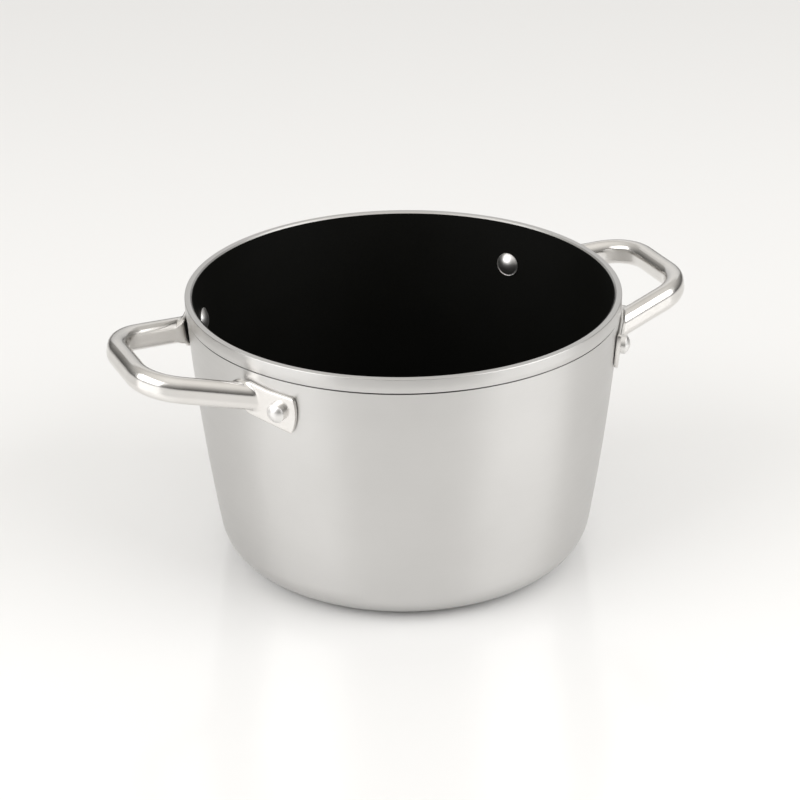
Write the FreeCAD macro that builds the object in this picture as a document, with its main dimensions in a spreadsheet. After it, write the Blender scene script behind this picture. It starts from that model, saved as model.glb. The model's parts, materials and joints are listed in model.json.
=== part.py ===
import FreeCAD, Part
import math
import os

import Sketcher

# A low, wide two-handled cooking pot, in millimetres.
# Origin: centre of the flat base on the worktop. +Z is up, and the handles point along +X and -X.

DIMENSIONS = {
    # Pot wall, measured on the outside
    "pot_height": 159.6,
    "rim_radius": 125.0,
    "rim_round": 0.5,
    "rim_chamfer": 0.8,
    "band_bottom": 151.0,
    "groove_half_height": 0.4,
    "groove_depth": 1.0,
    "wall_top_radius": 124.5,
    "wall_top_slope": 3.9,
    "wall_bow_radius": 1480.0,
    "corner_radius": 23.3,
    "wall_thickness": 4.0,
    "base_thickness": 5.4,
    "inner_corner_radius": 19.0,
    "coating_thickness": 0.5,
    # Perforated steel disc pressed into the base
    "disc_radius": 80.0,
    "disc_thickness": 0.6,
    "disc_hole_radius": 2.5,
    "disc_ring_pitch": 12.0,
    "disc_first_ring": 15.0,
    # Handle, a bent oval tube
    "handle_tilt": 9.0,
    "leg_root_x": 112.0,
    "leg_root_half_gap": 51.6,
    "leg_root_height": 135.4,
    "grip_x": 166.6,
    "grip_half_length": 33.4,
    "grip_bend_radius": 27.0,
    "tube_width": 11.6,
    "tube_height": 15.0,
    "tube_wall": 1.2,
    "tube_end_x": 129.0,
    # Handle ends, flattened into mounting tabs
    "flattening_inner_radius": 12.0,
    "flattening_shoulder_radius": 5.0,
    "tab_thickness": 2.4,
    "tab_droop": 8.5,
    "tab_root_height": 17.2,
    "tab_tip_height": 20.4,
    "tab_root": 8.0,
    "tab_tip": 13.4,
    "tab_tip_radius": 18.6,
    "tab_corner_radius": 2.2,
    # Rivets
    "rivet_azimuth": 33.2,
    "rivet_height": 133.6,
    "shank_radius": 3.0,
    "head_radius": 5.3,
    "head_side": 2.9,
    "head_crown": 1.9,
    "inner_head_radius": 7.2,
    "inner_head_crown": 2.9,
    "inner_head_gap": 0.3,
}

DISC_RINGS = 6
HOLES_PER_RING_STEP = 6
FLATTENING_STEPS = 9
STEPS_TO_WALL = 3
RIVET_CORNERS = {
    "rivet_right_rear": (1, 1),
    "rivet_right_front": (1, -1),
    "rivet_left_rear": (-1, 1),
    "rivet_left_front": (-1, -1),
}
SEALED_HOLLOW = ("handle_left", "handle_right")
AXIS_X = FreeCAD.Vector(1, 0, 0)
AXIS_Y = FreeCAD.Vector(0, 1, 0)
AXIS_Z = FreeCAD.Vector(0, 0, 1)

doc = FreeCAD.newDocument("StockPot")


# ---------------------------------------------------------------- document helpers

def make_sheet():
    """Put every driving dimension in a spreadsheet cell with its own alias."""
    sheet = doc.addObject("Spreadsheet::Sheet", "Sheet")
    for row, (name, value) in enumerate(DIMENSIONS.items(), start=1):
        sheet.set(f"A{row}", name)
        sheet.set(f"B{row}", str(value))
        sheet.setAlias(f"B{row}", name)
    doc.recompute()
    return sheet


sheet = make_sheet()


def size(name):
    """Read one driving dimension back from the sheet."""
    return float(getattr(sheet, name))


def origin_feature(body, role):
    """Find one of the body's own origin planes or axes."""
    return next(item for item in body.Origin.OriginFeatures if item.Role == role)


def new_sketch(body, name, plane="XY_Plane", placement=None):
    """Add a sketch on one of the body's origin planes, moved by placement."""
    sketch = body.newObject("Sketcher::SketchObject", name)
    sketch.AttachmentSupport = [(origin_feature(body, plane), "")]
    sketch.MapMode = "FlatFace"
    if placement is not None:
        sketch.AttachmentOffset = placement
    return sketch


def bind(sketch, constraint, expression):
    """Add a dimension to a sketch and drive it from the sheet."""
    index = sketch.addConstraint(constraint)
    sketch.setExpression(f"Constraints[{index}]", expression)


def lock_point(sketch, curve, end, across, up):
    """Hold a curve's end at (across, up); None keeps it on the sketch's other axis."""
    drawn = sketch.getPoint(curve, end)
    if across is None:
        sketch.addConstraint(Sketcher.Constraint("PointOnObject", curve, end, -2))
    else:
        bind(sketch, Sketcher.Constraint("DistanceX", -1, 1, curve, end, drawn.x), across)
    if up is None:
        sketch.addConstraint(Sketcher.Constraint("PointOnObject", curve, end, -1))
    else:
        bind(sketch, Sketcher.Constraint("DistanceY", -1, 1, curve, end, drawn.y), up)


def join(sketch, first, second):
    """Join the end of one curve to the start of the next."""
    sketch.addConstraint(Sketcher.Constraint("Coincident", first, 2, second, 1))


def add_line(sketch, start, end):
    """Add a straight edge between two points given as (across, up)."""
    return sketch.addGeometry(Part.LineSegment(FreeCAD.Vector(*start, 0), FreeCAD.Vector(*end, 0)))


def revolve(body, sketch):
    """Turn a profile all the way round the body's vertical axis."""
    feature = body.newObject("PartDesign::Revolution", "Turned")
    feature.Profile = sketch
    feature.ReferenceAxis = (sketch, ["V_Axis"])
    feature.Angle = 360
    return feature


def cut(label, base, tool):
    """Take a tool away from a base, as a labelled sub-part."""
    result = doc.addObject("Part::Cut", label)
    result.Base = base
    result.Tool = tool
    result.Label = label
    return result


# ---------------------------------------------------------------- pot wall curves

def bow_centre():
    """Centre of the wall's long, slightly bowed arc, as (radius, height)."""
    slope = math.radians(size("wall_top_slope"))
    bow = size("wall_bow_radius")
    return size("wall_top_radius") - bow * math.cos(slope), size("band_bottom") + bow * math.sin(slope)


def wall_radius(height, inset=0.0):
    """Radius of the wall's outer face, or of a face inset from it, at a height."""
    across, up = bow_centre()
    bow = size("wall_bow_radius") - inset
    return across + math.sqrt(bow ** 2 - (up - height) ** 2)


def wall_slope(height):
    """Lean of the wall from the vertical at a height, in radians."""
    up = bow_centre()[1]
    return math.asin((up - height) / size("wall_bow_radius"))


def add_bowl_curve(sketch, face):
    """Draw floor, corner arc and bowed wall; face gives inset, floor, corner and top.

    Returns the three curves, drawn from the axis outwards and up.
    """
    across, up = bow_centre()
    inset, floor, corner, top = (face[key][1] for key in ("inset", "floor", "corner", "top"))
    bow = size("wall_bow_radius") - inset
    corner_up = floor + corner
    corner_across = across + math.sqrt((bow - corner) ** 2 - (up - corner_up) ** 2)
    lean = math.atan2(up - corner_up, corner_across - across)
    top_angle = math.asin((top - up) / bow)

    base = add_line(sketch, (0, floor), (corner_across, floor))
    corner_circle = Part.Circle(FreeCAD.Vector(corner_across, corner_up, 0), AXIS_Z, corner)
    bend = sketch.addGeometry(Part.ArcOfCircle(corner_circle, -math.pi / 2, -lean))
    wall_circle = Part.Circle(FreeCAD.Vector(across, up, 0), AXIS_Z, bow)
    wall = sketch.addGeometry(Part.ArcOfCircle(wall_circle, -lean, top_angle))

    sketch.addConstraint(Sketcher.Constraint("Tangent", base, 2, bend, 1))
    sketch.addConstraint(Sketcher.Constraint("Tangent", bend, 2, wall, 1))
    sketch.addConstraint(Sketcher.Constraint("Horizontal", base))
    lock_point(sketch, base, 1, None, face["floor"][0])
    bind(sketch, Sketcher.Constraint("Radius", bend, corner), face["corner"][0])
    bind(sketch, Sketcher.Constraint("Radius", wall, bow), f"Sheet.wall_bow_radius - {face['inset'][0]}")
    bind(
        sketch,
        Sketcher.Constraint("DistanceX", wall, 3, -1, 1, -across),
        "Sheet.wall_bow_radius * cos(Sheet.wall_top_slope * 1deg) - Sheet.wall_top_radius",
    )
    bind(
        sketch,
        Sketcher.Constraint("DistanceY", -1, 1, wall, 3, up),
        "Sheet.band_bottom + Sheet.wall_bow_radius * sin(Sheet.wall_top_slope * 1deg)",
    )
    bind(sketch, Sketcher.Constraint("DistanceY", -1, 1, wall, 2, top), face["top"][0])
    return base, bend, wall


def outer_face():
    """The pot's outside, up to the groove under the rim band."""
    return {
        "inset": ("0", 0.0),
        "floor": (None, 0.0),
        "corner": ("Sheet.corner_radius", size("corner_radius")),
        "top": (
            "Sheet.band_bottom - Sheet.groove_half_height",
            size("band_bottom") - size("groove_half_height"),
        ),
    }


def inner_face(coating=False):
    """The pot's inside, on the metal or on top of the coating."""
    extra = size("coating_thickness") if coating else 0.0
    plus = " + Sheet.coating_thickness" if coating else ""
    minus = " - Sheet.coating_thickness" if coating else ""
    return {
        "inset": (f"(Sheet.wall_thickness{plus})", size("wall_thickness") + extra),
        "floor": (f"Sheet.base_thickness{plus}", size("base_thickness") + extra),
        "corner": (f"Sheet.inner_corner_radius{minus}", size("inner_corner_radius") - extra),
        "top": ("Sheet.pot_height - Sheet.rim_chamfer", size("pot_height") - size("rim_chamfer")),
    }


# ---------------------------------------------------------------- pot body and lining

def make_pot_blank():
    """The drawn aluminium pot: bowed wall, turned rim band, flat rim with a bright inner chamfer."""
    body = doc.addObject("PartDesign::Body", "PotBlank")
    sketch = new_sketch(body, "PotProfile", "XZ_Plane")
    floor, _, outside = add_bowl_curve(sketch, outer_face())
    inner_floor, _, inside = add_bowl_curve(sketch, inner_face())

    rim = size("rim_radius")
    height = size("pot_height")
    band = size("band_bottom")
    half = size("groove_half_height")
    round_off = size("rim_round")
    chamfer = size("rim_chamfer")
    groove_radius = rim - size("groove_depth")
    bore = wall_radius(height - chamfer, size("wall_thickness"))

    groove_low = add_line(sketch, (wall_radius(band - half), band - half), (groove_radius, band))
    groove_high = add_line(sketch, (groove_radius, band), (rim, band + half))
    band_face = add_line(sketch, (rim, band + half), (rim, height - round_off))
    edge_circle = Part.Circle(FreeCAD.Vector(rim - round_off, height - round_off, 0), AXIS_Z, round_off)
    edge = sketch.addGeometry(Part.ArcOfCircle(edge_circle, 0, math.pi / 2))
    top = add_line(sketch, (rim - round_off, height), (bore + chamfer, height))
    bevel = add_line(sketch, (bore + chamfer, height), (bore, height - chamfer))
    axis = add_line(sketch, (0, size("base_thickness")), (0, 0))

    join(sketch, outside, groove_low)
    join(sketch, groove_low, groove_high)
    join(sketch, groove_high, band_face)
    sketch.addConstraint(Sketcher.Constraint("Tangent", band_face, 2, edge, 1))
    sketch.addConstraint(Sketcher.Constraint("Tangent", edge, 2, top, 1))
    join(sketch, top, bevel)
    sketch.addConstraint(Sketcher.Constraint("Coincident", bevel, 2, inside, 2))
    sketch.addConstraint(Sketcher.Constraint("Coincident", axis, 1, inner_floor, 1))
    sketch.addConstraint(Sketcher.Constraint("Coincident", axis, 2, floor, 1))

    lock_point(sketch, groove_low, 2, "Sheet.rim_radius - Sheet.groove_depth", "Sheet.band_bottom")
    lock_point(sketch, band_face, 1, "Sheet.rim_radius", "Sheet.band_bottom + Sheet.groove_half_height")
    sketch.addConstraint(Sketcher.Constraint("Vertical", band_face))
    sketch.addConstraint(Sketcher.Constraint("Horizontal", top))
    bind(sketch, Sketcher.Constraint("Radius", edge, round_off), "Sheet.rim_round")
    bind(sketch, Sketcher.Constraint("DistanceY", -1, 1, top, 1, height), "Sheet.pot_height")
    bind(sketch, Sketcher.Constraint("DistanceX", bevel, 2, bevel, 1, chamfer), "Sheet.rim_chamfer")
    revolve(body, sketch)
    return body


def make_lining_blank():
    """The non-stick coating, a thin skin over the whole inside up to the rim's chamfer."""
    body = doc.addObject("PartDesign::Body", "LiningBlank")
    sketch = new_sketch(body, "LiningProfile", "XZ_Plane")
    metal_floor, _, metal_wall = add_bowl_curve(sketch, inner_face())
    coat_floor, _, coat_wall = add_bowl_curve(sketch, inner_face(coating=True))
    top = size("pot_height") - size("rim_chamfer")
    inset = size("wall_thickness")
    coating = size("coating_thickness")
    lip = add_line(sketch, (wall_radius(top, inset), top), (wall_radius(top, inset + coating), top))
    axis = add_line(sketch, (0, size("base_thickness") + coating), (0, size("base_thickness")))
    join(sketch, metal_wall, lip)
    sketch.addConstraint(Sketcher.Constraint("Coincident", lip, 2, coat_wall, 2))
    sketch.addConstraint(Sketcher.Constraint("Coincident", axis, 1, coat_floor, 1))
    sketch.addConstraint(Sketcher.Constraint("Coincident", axis, 2, metal_floor, 1))
    revolve(body, sketch)
    return body


def make_induction_disc():
    """The perforated magnetic-steel disc, with rings of round holes."""
    body = doc.addObject("PartDesign::Body", "induction_base_disc")
    body.Label = "induction_base_disc"
    sketch = new_sketch(body, "DiscOutline")
    circle = sketch.addGeometry(Part.Circle(FreeCAD.Vector(0, 0, 0), AXIS_Z, size("disc_radius")))
    sketch.addConstraint(Sketcher.Constraint("Coincident", circle, 3, -1, 1))
    bind(sketch, Sketcher.Constraint("Radius", circle, size("disc_radius")), "Sheet.disc_radius")
    plate = body.newObject("PartDesign::Pad", "Plate")
    plate.Profile = sketch
    plate.setExpression("Length", "Sheet.disc_thickness")
    doc.recompute()

    for ring in range(DISC_RINGS):
        radius = size("disc_first_ring") + ring * size("disc_ring_pitch")
        hole_sketch = new_sketch(body, f"HoleSketch{ring + 1}")
        centre = FreeCAD.Vector(radius, 0, 0)
        hole = hole_sketch.addGeometry(Part.Circle(centre, AXIS_Z, size("disc_hole_radius")))
        hole_sketch.addConstraint(Sketcher.Constraint("PointOnObject", hole, 3, -1))
        bind(
            hole_sketch,
            Sketcher.Constraint("DistanceX", -1, 1, hole, 3, radius),
            f"Sheet.disc_first_ring + {ring} * Sheet.disc_ring_pitch",
        )
        hole_size = Sketcher.Constraint("Radius", hole, size("disc_hole_radius"))
        bind(hole_sketch, hole_size, "Sheet.disc_hole_radius")
        pocket = body.newObject("PartDesign::Pocket", f"Hole{ring + 1}")
        pocket.Profile = hole_sketch
        pocket.Type = "ThroughAll"
        pocket.Reversed = True
        pattern = body.newObject("PartDesign::PolarPattern", f"HoleRing{ring + 1}")
        pattern.Originals = [pocket]
        pattern.Axis = (hole_sketch, ["N_Axis"])
        pattern.Angle = 360
        pattern.Occurrences = HOLES_PER_RING_STEP * (ring + 1)
        body.Tip = pattern
        doc.recompute()
    return body


# ---------------------------------------------------------------- rivets

def rivet_frame(side, end):
    """Frame on the wall's outer face at one rivet: +Z along the rivet, outwards; +Y up the wall.

    side is +1 for the right handle and -1 for the left; end is +1 towards +Y and -1 towards -Y.
    """
    azimuth = math.radians(size("rivet_azimuth"))
    height = size("rivet_height")
    slope = wall_slope(height)
    radius = wall_radius(height)
    outward = FreeCAD.Vector(side * math.cos(azimuth), end * math.sin(azimuth), 0)
    normal = outward * math.cos(slope) - AXIS_Z * math.sin(slope)
    up = outward * math.sin(slope) + AXIS_Z * math.cos(slope)
    place = outward * radius + AXIS_Z * height
    return FreeCAD.Placement(place, FreeCAD.Rotation(up.cross(normal), up, normal, "ZXY"))


def make_drills():
    """Four shank-sized cylinders that make the rivet holes in the wall, the lining and the tabs."""
    drills = []
    reach = 4 * size("wall_thickness")
    for name, (side, end) in RIVET_CORNERS.items():
        drill = doc.addObject("Part::Cylinder", f"drill_{name}")
        drill.setExpression("Radius", "Sheet.shank_radius")
        drill.setExpression("Height", "8 * Sheet.wall_thickness")
        centred = FreeCAD.Placement(FreeCAD.Vector(0, 0, -reach), FreeCAD.Rotation())
        drill.Placement = rivet_frame(side, end).multiply(centred)
        drills.append(drill)
    group = doc.addObject("Part::Compound", "RivetDrills")
    group.Links = drills
    return group


def make_rivet(name, side, end):
    """A solid rivet: domed button head outside, broad low dome set up against the lining."""
    body = doc.addObject("PartDesign::Body", name)
    body.Label = name
    sketch = new_sketch(body, f"Profile_{name}", "XZ_Plane")
    shank = size("shank_radius")
    head = size("head_radius")
    foot = size("tab_thickness")
    brim = foot + size("head_side")
    crown = size("head_crown")
    inner = size("inner_head_radius")
    seat = -size("wall_thickness") - size("coating_thickness") - size("inner_head_gap")
    inner_crown = size("inner_head_crown")

    def dome(centre_up, radius, start, end_angle):
        circle = Part.Circle(FreeCAD.Vector(0, centre_up, 0), AXIS_Z, radius)
        return sketch.addGeometry(Part.ArcOfCircle(circle, start, end_angle))

    inner_ball = (inner ** 2 + inner_crown ** 2) / (2 * inner_crown)
    inner_rim_angle = math.asin((inner_ball - inner_crown) / inner_ball)
    low_dome = dome(seat - inner_crown + inner_ball, inner_ball, -math.pi / 2, -inner_rim_angle)
    ledge = add_line(sketch, (inner, seat), (shank, seat))
    stem = add_line(sketch, (shank, seat), (shank, foot))
    shoulder = add_line(sketch, (shank, foot), (head, foot))
    side_face = add_line(sketch, (head, foot), (head, brim))
    ball = (head ** 2 + crown ** 2) / (2 * crown)
    rim_angle = math.asin((ball - crown) / ball)
    high_dome = dome(brim + crown - ball, ball, rim_angle, math.pi / 2)
    axis = add_line(sketch, (0, brim + crown), (0, seat - inner_crown))

    chain = (low_dome, ledge, stem, shoulder, side_face, high_dome, axis, low_dome)
    for first, second in zip(chain, chain[1:]):
        join(sketch, first, second)
    seat_text = "-Sheet.wall_thickness - Sheet.coating_thickness - Sheet.inner_head_gap"
    lock_point(sketch, ledge, 1, "Sheet.inner_head_radius", seat_text)
    lock_point(sketch, stem, 1, "Sheet.shank_radius", seat_text)
    lock_point(sketch, stem, 2, "Sheet.shank_radius", "Sheet.tab_thickness")
    lock_point(sketch, side_face, 1, "Sheet.head_radius", "Sheet.tab_thickness")
    lock_point(sketch, side_face, 2, "Sheet.head_radius", "Sheet.tab_thickness + Sheet.head_side")
    lock_point(sketch, axis, 1, None, "Sheet.tab_thickness + Sheet.head_side + Sheet.head_crown")
    lock_point(sketch, axis, 2, None, f"{seat_text} - Sheet.inner_head_crown")
    for arc in (low_dome, high_dome):
        sketch.addConstraint(Sketcher.Constraint("PointOnObject", arc, 3, -2))
    revolve(body, sketch)
    body.Placement = rivet_frame(side, end)
    return body


# ---------------------------------------------------------------- handles

def handle_plane():
    """The tilted plane the tube is bent in, at the legs' root, as a placement."""
    root = FreeCAD.Vector(size("leg_root_x"), 0, size("leg_root_height"))
    return FreeCAD.Placement(root, FreeCAD.Rotation(AXIS_Y, -size("handle_tilt")))


def leg_spread():
    """Angle between a leg and the handle's own centre line, in radians."""
    reach = (size("grip_x") - size("leg_root_x")) / math.cos(math.radians(size("handle_tilt")))
    return math.atan2(size("leg_root_half_gap") - size("grip_half_length"), reach)


def leg_point(x):
    """Point of the +Y leg's centre line at a distance x from the pot's axis, in the handle plane."""
    along = (x - size("leg_root_x")) / math.cos(math.radians(size("handle_tilt")))
    return along, size("leg_root_half_gap") - along * math.tan(leg_spread())


def tab_frame():
    """Frame of the +Y tab: +X along it to its tip, +Y across it, +Z outwards from the wall."""
    droop = FreeCAD.Placement(FreeCAD.Vector(0, 0, 0), FreeCAD.Rotation(AXIS_Z, -size("tab_droop")))
    frame = rivet_frame(1, 1).multiply(droop)
    return frame


def corner_curve(start, corner, finish, radius, count):
    """Points evenly spread along start-corner-finish, with the corner rounded."""
    before = (corner - start).normalize()
    after = (finish - corner).normalize()
    turn = before.getAngle(after)
    trim = radius * math.tan(turn / 2)
    entry = corner - before * trim
    leave = corner + after * trim
    inward = (after - before).normalize()
    centre = corner + inward * (radius / math.cos(turn / 2))
    bend = Part.Arc(entry, centre - inward * radius, leave).toShape()
    first = Part.LineSegment(start, entry).toShape()
    last = Part.LineSegment(leave, finish).toShape()
    return Part.Wire([first, bend, last]).discretize(Number=count)


def meet(point, direction, plane_point, plane_normal):
    """Where a line meets a plane."""
    distance = (plane_point - point).dot(plane_normal) / direction.dot(plane_normal)
    return point + direction * distance


def flattened_sections():
    """Sections that take the +Y leg from the oval tube to the flat tab.

    Each one is (placement, thickness, height). The inner line follows the leg's inner side and
    then the pot wall; the outer line follows the leg's outer side and then the tab's face, so
    the tube stays full almost to the shoulder and is pressed flat from there on.
    """
    plane = handle_plane()
    spread = leg_spread()
    half = size("tube_width") / 2
    toward_pot = plane.Rotation.multVec(FreeCAD.Vector(-math.cos(spread), math.sin(spread), 0))
    inner_side = plane.Rotation.multVec(FreeCAD.Vector(-math.sin(spread), -math.cos(spread), 0))
    tube_up = plane.Rotation.multVec(AXIS_Z)
    leg_end = plane.multVec(FreeCAD.Vector(*leg_point(size("tube_end_x")), 0))

    frame = tab_frame()
    tab_along = frame.Rotation.multVec(AXIS_X)
    tab_up = frame.Rotation.multVec(AXIS_Y)
    tab_out = frame.Rotation.multVec(AXIS_Z)
    thickness = size("tab_thickness")
    wall_root = frame.Base - tab_along * size("tab_root")
    face_root = wall_root + tab_out * thickness

    inner_start = leg_end + inner_side * half
    outer_start = leg_end - inner_side * half
    inner_corner = meet(inner_start, toward_pot, frame.Base, tab_out)
    outer_corner = meet(outer_start, toward_pot, face_root, tab_out)
    inner_radius = size("flattening_inner_radius")
    shoulder_radius = size("flattening_shoulder_radius")
    inner_line = corner_curve(inner_start, inner_corner, wall_root, inner_radius, FLATTENING_STEPS)
    outer_line = corner_curve(outer_start, outer_corner, face_root, shoulder_radius, FLATTENING_STEPS)

    sections = []
    for step, (inner, outer) in enumerate(zip(inner_line, outer_line)):
        share = step / (FLATTENING_STEPS - 1)
        lean = min(1.0, step / STEPS_TO_WALL)
        across = outer - inner
        up = tube_up * (1 - lean) + tab_up * lean
        height = size("tube_height") * (1 - share) + size("tab_root_height") * share
        rotation = FreeCAD.Rotation(across, up, across.cross(up), "YXZ")
        sections.append((FreeCAD.Placement((inner + outer) / 2, rotation), across.Length, height))
    return sections


def add_slot(sketch, width, width_text, height, height_text):
    """Draw an upright slot shape, round at both ends, centred on the sketch's origin."""
    radius = width / 2
    reach = height / 2 - radius
    ends = []
    for sign in (1, -1):
        circle = Part.Circle(FreeCAD.Vector(0, sign * reach, 0), AXIS_Z, radius)
        start = 0 if sign > 0 else math.pi
        ends.append(sketch.addGeometry(Part.ArcOfCircle(circle, start, start + math.pi)))
    left = add_line(sketch, (-radius, reach), (-radius, -reach))
    right = add_line(sketch, (radius, -reach), (radius, reach))
    for first, second in ((ends[0], left), (left, ends[1]), (ends[1], right), (right, ends[0])):
        sketch.addConstraint(Sketcher.Constraint("Tangent", first, 2, second, 1))
    sketch.addConstraint(Sketcher.Constraint("PointOnObject", ends[0], 3, -2))
    sketch.addConstraint(Sketcher.Constraint("Symmetric", ends[0], 3, ends[1], 3, -1, 1))
    sketch.addConstraint(Sketcher.Constraint("Equal", ends[0], ends[1]))
    bind(sketch, Sketcher.Constraint("Radius", ends[0], radius), f"({width_text}) / 2")
    bind(
        sketch,
        Sketcher.Constraint("DistanceY", -1, 1, ends[0], 3, reach),
        f"(({height_text}) - ({width_text})) / 2",
    )


def add_tube_path(sketch):
    """Draw the tube's centre line: leg, bend, grip, bend, leg."""
    root_text = "(Sheet.tube_end_x - Sheet.leg_root_x) / cos(Sheet.handle_tilt * 1deg)"
    reach_text = "(Sheet.grip_x - Sheet.leg_root_x) / cos(Sheet.handle_tilt * 1deg)"
    spread = leg_spread()
    start_along, start_half = leg_point(size("tube_end_x"))
    grip_along, grip_half = leg_point(size("grip_x"))
    radius = size("grip_bend_radius")
    turn = math.pi / 2 - spread
    trim = radius * math.tan(turn / 2)
    bend_half = grip_half - trim
    bend_along = grip_along - trim * math.cos(spread)
    leg_half = grip_half + trim * math.sin(spread)

    legs = []
    bends = []
    for sign in (1, -1):
        centre = FreeCAD.Vector(grip_along - radius, sign * bend_half, 0)
        circle = Part.Circle(centre, AXIS_Z, radius)
        angles = (0, turn) if sign > 0 else (-turn, 0)
        bends.append(sketch.addGeometry(Part.ArcOfCircle(circle, *angles)))
        outer = (start_along, sign * start_half)
        inner = (bend_along, sign * leg_half)
        ends = (inner, outer) if sign > 0 else (outer, inner)
        legs.append(add_line(sketch, *ends))
    grip = add_line(sketch, (grip_along, -bend_half), (grip_along, bend_half))
    chain = (legs[1], bends[1], grip, bends[0], legs[0])
    for first, second in zip(chain, chain[1:]):
        sketch.addConstraint(Sketcher.Constraint("Tangent", first, 2, second, 1))
    sketch.addConstraint(Sketcher.Constraint("Vertical", grip))
    sketch.addConstraint(Sketcher.Constraint("Symmetric", legs[0], 2, legs[1], 1, -1))
    sketch.addConstraint(Sketcher.Constraint("Equal", bends[0], bends[1]))
    sketch.addConstraint(Sketcher.Constraint("Equal", legs[0], legs[1]))
    bind(sketch, Sketcher.Constraint("Radius", bends[0], radius), "Sheet.grip_bend_radius")
    bind(sketch, Sketcher.Constraint("DistanceX", -1, 1, grip, 1, grip_along), reach_text)
    bind(sketch, Sketcher.Constraint("DistanceX", -1, 1, legs[0], 2, start_along), root_text)
    half_text = (
        f"Sheet.leg_root_half_gap - {root_text} / ({reach_text})"
        " * (Sheet.leg_root_half_gap - Sheet.grip_half_length)"
    )
    bind(sketch, Sketcher.Constraint("DistanceY", -1, 1, legs[0], 2, start_half), half_text)
    spread_text = f"atan((Sheet.leg_root_half_gap - Sheet.grip_half_length) / ({reach_text}))"
    bind(sketch, Sketcher.Constraint("Angle", -1, legs[1], spread), spread_text)


def add_tip_waste(sketch):
    """Outline of the waste beyond the tab's tip: the tip is a shallow arc with small round corners."""
    tip = size("tab_tip")
    half = size("tab_tip_height") / 2
    bulge = size("tab_tip_radius")
    corner = size("tab_corner_radius")
    corner_up = half - corner
    corner_across = tip - bulge + math.sqrt((bulge - corner) ** 2 - corner_up ** 2)
    lean = math.atan2(corner_up, corner_across - (tip - bulge))
    edge = half + corner
    far = tip + 2 * corner

    crest = Part.Circle(FreeCAD.Vector(tip - bulge, 0, 0), AXIS_Z, bulge)
    face = sketch.addGeometry(Part.ArcOfCircle(crest, -lean, lean))
    high = Part.Circle(FreeCAD.Vector(corner_across, corner_up, 0), AXIS_Z, corner)
    upper = sketch.addGeometry(Part.ArcOfCircle(high, lean, math.pi / 2))
    low = Part.Circle(FreeCAD.Vector(corner_across, -corner_up, 0), AXIS_Z, corner)
    lower = sketch.addGeometry(Part.ArcOfCircle(low, -math.pi / 2, -lean))
    rise = add_line(sketch, (corner_across, half), (corner_across, edge))
    over = add_line(sketch, (corner_across, edge), (far, edge))
    drop = add_line(sketch, (far, edge), (far, -edge))
    under = add_line(sketch, (far, -edge), (corner_across, -edge))
    back = add_line(sketch, (corner_across, -edge), (corner_across, -half))

    sketch.addConstraint(Sketcher.Constraint("Tangent", lower, 2, face, 1))
    sketch.addConstraint(Sketcher.Constraint("Tangent", face, 2, upper, 1))
    chain = (upper, rise, over, drop, under, back, lower)
    for first, second in zip(chain, chain[1:]):
        join(sketch, first, second)
    for line in (rise, back):
        sketch.addConstraint(Sketcher.Constraint("Vertical", line))
    for line in (over, under):
        sketch.addConstraint(Sketcher.Constraint("Horizontal", line))
    sketch.addConstraint(Sketcher.Constraint("Vertical", upper, 3, upper, 2))
    sketch.addConstraint(Sketcher.Constraint("Equal", upper, lower))
    sketch.addConstraint(Sketcher.Constraint("Symmetric", upper, 2, lower, 1, -1))
    sketch.addConstraint(Sketcher.Constraint("Symmetric", over, 2, under, 1, -1))
    bind(sketch, Sketcher.Constraint("Radius", face, bulge), "Sheet.tab_tip_radius")
    bind(sketch, Sketcher.Constraint("Radius", upper, corner), "Sheet.tab_corner_radius")
    lock_point(sketch, face, 3, "Sheet.tab_tip - Sheet.tab_tip_radius", None)
    bind(sketch, Sketcher.Constraint("DistanceY", -1, 1, upper, 2, half), "Sheet.tab_tip_height / 2")
    far_up = "Sheet.tab_tip_height / 2 + Sheet.tab_corner_radius"
    lock_point(sketch, over, 2, "Sheet.tab_tip + 2 * Sheet.tab_corner_radius", far_up)


def tab_placement(along, out):
    """A plane across the tab at a distance along it, looking towards its tip."""
    frame = tab_frame()
    local = FreeCAD.Placement(
        FreeCAD.Vector(along, 0, out), FreeCAD.Rotation(AXIS_Z, AXIS_Y, AXIS_X * -1, "XYZ")
    )
    return frame.multiply(local)


def add_loft(body, name, sketches):
    """Skin a run of section sketches."""
    loft = body.newObject("PartDesign::AdditiveLoft", name)
    loft.Profile = sketches[0]
    loft.Sections = [(sketch, "") for sketch in sketches[1:]]
    doc.recompute()
    return loft


def add_flattened_end(body):
    """Press the +Y leg flat: from the oval tube, round the bend, to the tab and its sheared tip."""
    sketches = []
    for number, (placement, thickness, height) in enumerate(flattened_sections(), start=1):
        sketch = new_sketch(body, f"Flattening{number}", placement=placement)
        thickness_text = f"Sheet.tube_width * {thickness / size('tube_width'):.6f}"
        height_text = f"Sheet.tube_height * {height / size('tube_height'):.6f}"
        add_slot(sketch, thickness, thickness_text, height, height_text)
        sketches.append(sketch)
    thickness = size("tab_thickness")
    tip = new_sketch(body, "TabTip", placement=tab_placement(size("tab_tip"), thickness / 2))
    add_slot(tip, thickness, "Sheet.tab_thickness", size("tab_tip_height"), "Sheet.tab_tip_height")
    bend = add_loft(body, "FlattenedBend", sketches)
    tab = add_loft(body, "Tab", [sketches[-1], tip])

    above = FreeCAD.Placement(FreeCAD.Vector(0, 0, 3 * thickness), FreeCAD.Rotation())
    waste = new_sketch(body, "TipWaste", placement=tab_frame().multiply(above))
    add_tip_waste(waste)
    shear = body.newObject("PartDesign::Pocket", "TipShear")
    shear.Profile = waste
    shear.setExpression("Length", "5 * Sheet.tab_thickness")
    doc.recompute()
    return [bend, tab, shear]


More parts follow.
